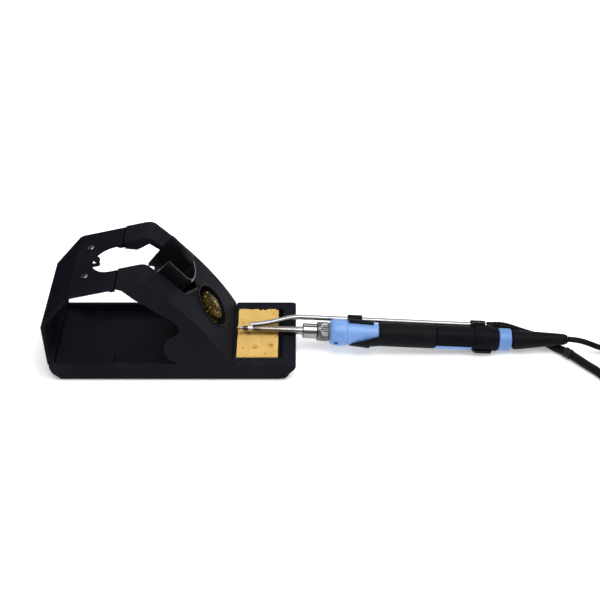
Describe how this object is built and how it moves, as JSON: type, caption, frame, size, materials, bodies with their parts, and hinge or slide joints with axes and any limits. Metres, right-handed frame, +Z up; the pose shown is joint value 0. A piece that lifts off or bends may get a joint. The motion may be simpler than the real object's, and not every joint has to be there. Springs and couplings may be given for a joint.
{
  "type": "soldering iron station",
  "caption": "Black moulded soldering iron stand with sponge tray and brass-wool well, with a fume-extraction iron lying across it.",
  "frame": {"origin": "centre of the stand's underside, on the bench", "axes": "+Z up; +X from the storage bay towards the sponge tray and along the iron to its cable; +Y to the back"},
  "size_m": [0.5943, 0.105, 0.0974],
  "materials": {
    "black_plastic": "satin",
    "black_rubber": "matte",
    "sheath": "satin",
    "blue_plastic": "satin",
    "steel": "brushed",
    "chrome": "polished",
    "dark_steel": "matte",
    "brass": "satin",
    "sponge_yellow": "matte",
    "ceramic": "matte",
    "board_green": "satin"
  },
  "bodies": {
    "stand": {"rubber_pad": "black_rubber", "base_tray": "black_plastic", "ballast_plate": "dark_steel", "arch_band": "black_plastic", "holder_shell": "black_plastic", "rest_bracket": "black_plastic", "arch_screw_front": "chrome", "arch_screw_rear": "chrome", "holder_funnel": "black_plastic", "wool_cup": "black_plastic", "sponge_tray": "black_plastic", "sponge": "sponge_yellow", "cable_run": "sheath", "cable_coil": "sheath", "cable_tail": "sheath", "cable_plug": "black_rubber", "plug_insert": "steel", "hose_clip": "black_rubber", "hose_run": "sheath", "hose_coil": "sheath", "hose_tail": "sheath", "hose_fitting": "black_rubber"},
    "wool": {"brass_wool": "brass"},
    "iron": {"heater_element": "ceramic", "heater_socket": "ceramic", "nose_collar": "blue_plastic", "front_clip": "black_plastic", "rubber_grip": "black_rubber", "handle_body": "black_plastic", "handle_board": "board_green", "accent_strip": "blue_plastic", "rear_clip": "black_plastic", "rear_ring": "blue_plastic", "strain_relief": "black_rubber", "hose_nozzle": "black_rubber"},
    "tip_assembly": {"soldering_tip": "steel", "barrel_tube": "steel", "barrel_sleeve": "chrome"},
    "nut": {"knurled_nut": "steel"},
    "extraction_tube": {"fume_tube": "steel"}
  },
  "joints": [
    {"name": "iron_lift", "type": "slide", "parent": "stand", "child": "iron", "axis": [0, -0.6, 0.8], "range_m": [0, 0.05]},
    {"name": "wool_pull", "type": "slide", "parent": "stand", "child": "wool", "axis": [0.8378, 0, 0.5459], "range_m": [0, 0.024]},
    {"name": "tube_slide", "type": "slide", "parent": "iron", "child": "extraction_tube", "axis": [0.9983, 0, -0.0583], "range_m": [-0.006, 0.002]},
    {"name": "sleeve_slide", "type": "slide", "parent": "iron", "child": "tip_assembly", "axis": [-0.9983, 0, 0.0583], "range_m": [0, 0.002]},
    {"name": "nut_turn", "type": "hinge", "parent": "tip_assembly", "child": "nut", "pos_m": [0.11409, -0.0012, 0.01855], "axis": [-0.9983, 0, 0.0583], "range_deg": [0, 720]}
  ],
  "couplings": [
    {"joint": "nut_turn", "follows": "sleeve_slide", "rad_per_m": 6283.2}
  ]
}
